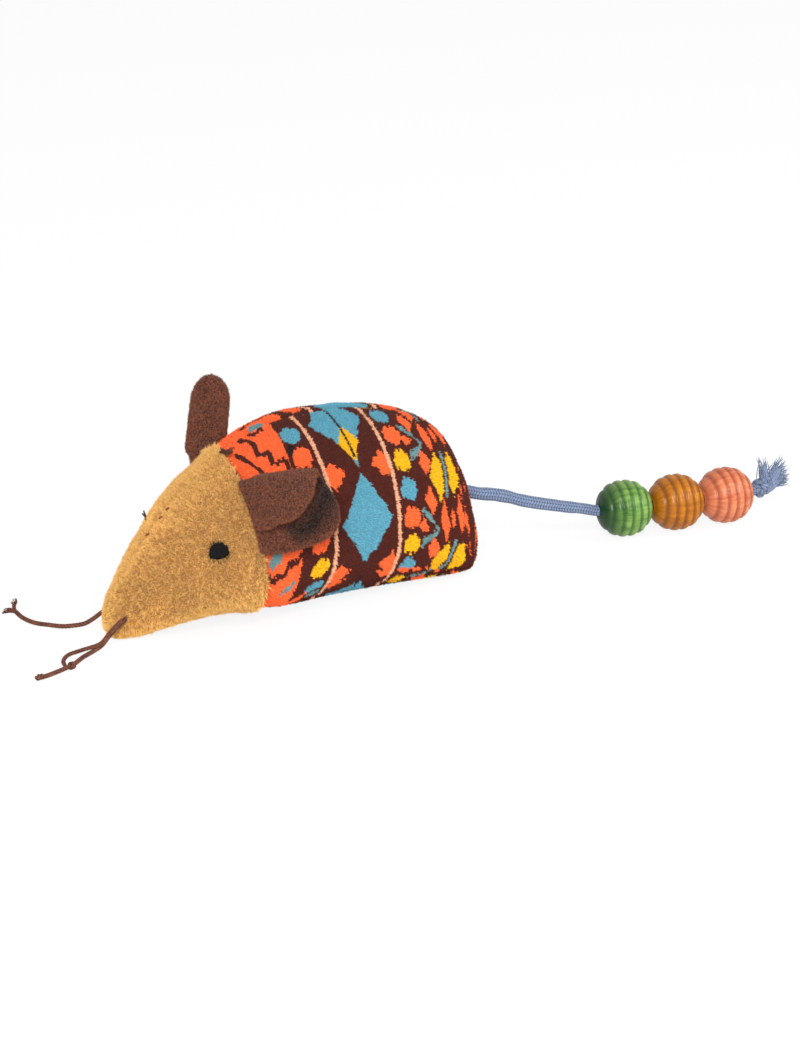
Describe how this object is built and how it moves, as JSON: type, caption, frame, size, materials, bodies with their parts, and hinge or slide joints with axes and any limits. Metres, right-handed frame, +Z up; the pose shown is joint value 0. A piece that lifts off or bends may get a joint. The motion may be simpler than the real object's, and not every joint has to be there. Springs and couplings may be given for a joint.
{
  "type": "catnip mouse toy",
  "caption": "Stuffed catnip mouse with folded felt ears, a printed plush body, cord whiskers and a braided cord tail threaded through grooved wooden beads.",
  "frame": {"origin": "on the flat underside, midway between the nose tip and the rump, at the surface that the mouse lies on", "axes": "+X towards the tail, +Y towards the mouse's right flank, +Z up"},
  "size_m": [0.1791, 0.0437, 0.0459],
  "materials": {
    "tan_plush": "short tan plush pile, matt",
    "print_plush": "short brown plush pile with a redrawn ikat-style print in orange, blue, yellow and cream",
    "brown_felt": "dark brown felt, matt and slightly fuzzy",
    "black_thread": "black sewing thread wound into a knot",
    "white_fibre": "loose white polyester filling",
    "dried_catnip": "loose dried leaf",
    "whisker_cotton": "dark brown waxed cotton cord",
    "tail_cotton": "pale blue braided cotton cord",
    "green_lacquer": "turned wood under clear coloured lacquer, glossy, grain showing",
    "ochre_lacquer": "turned wood under clear coloured lacquer, glossy, grain showing",
    "coral_lacquer": "turned wood under clear coloured lacquer, glossy, grain showing"
  },
  "bodies": {
    "mouse": {"left_head_panel": "tan_plush", "right_head_panel": "tan_plush", "left_body_panel": "print_plush", "right_body_panel": "print_plush", "base_panel": "print_plush", "left_eye": "black_thread", "right_eye": "black_thread", "stuffing": "white_fibre", "catnip_fill": "dried_catnip", "whisker_cord": "whisker_cotton", "whisker_loop": "whisker_cotton", "whisker_knot": "whisker_cotton", "whisker_end_knot": "whisker_cotton", "tail_anchor_knot": "tail_cotton", "tail_cord": "tail_cotton", "tail_end_knot": "tail_cotton", "tail_tuft": "tail_cotton"},
    "left_ear": {"left_ear": "brown_felt"},
    "right_ear": {"right_ear": "brown_felt"},
    "green_bead": {"green_bead": "green_lacquer"},
    "ochre_bead": {"ochre_bead": "ochre_lacquer"},
    "coral_bead": {"coral_bead": "coral_lacquer"}
  },
  "joints": [
    {"name": "green_bead_spin", "type": "hinge", "parent": "mouse", "child": "green_bead", "pos_m": [0.0775, -0.0066, 0.006], "axis": [0.9715, -0.2368, 0], "continuous": true},
    {"name": "ochre_bead_spin", "type": "hinge", "parent": "mouse", "child": "ochre_bead", "pos_m": [0.08903, -0.00908, 0.006], "axis": [0.9829, -0.1839, 0], "continuous": true},
    {"name": "coral_bead_spin", "type": "hinge", "parent": "mouse", "child": "coral_bead", "pos_m": [0.10068, -0.01093, 0.006], "axis": [0.9917, -0.1288, 0], "continuous": true},
    {"name": "left_ear_fold", "type": "hinge", "parent": "mouse", "child": "left_ear", "pos_m": [-0.014, -0.01424, 0.0226], "axis": [0, -0.584, -0.8118], "range_deg": [0, 45], "stiffness_Nm_per_rad": 0.001},
    {"name": "right_ear_fold", "type": "hinge", "parent": "mouse", "child": "right_ear", "pos_m": [-0.014, 0.01115, 0.0271], "axis": [0, 0.7533, -0.6577], "range_deg": [-35, 12], "stiffness_Nm_per_rad": 0.001}
  ]
}
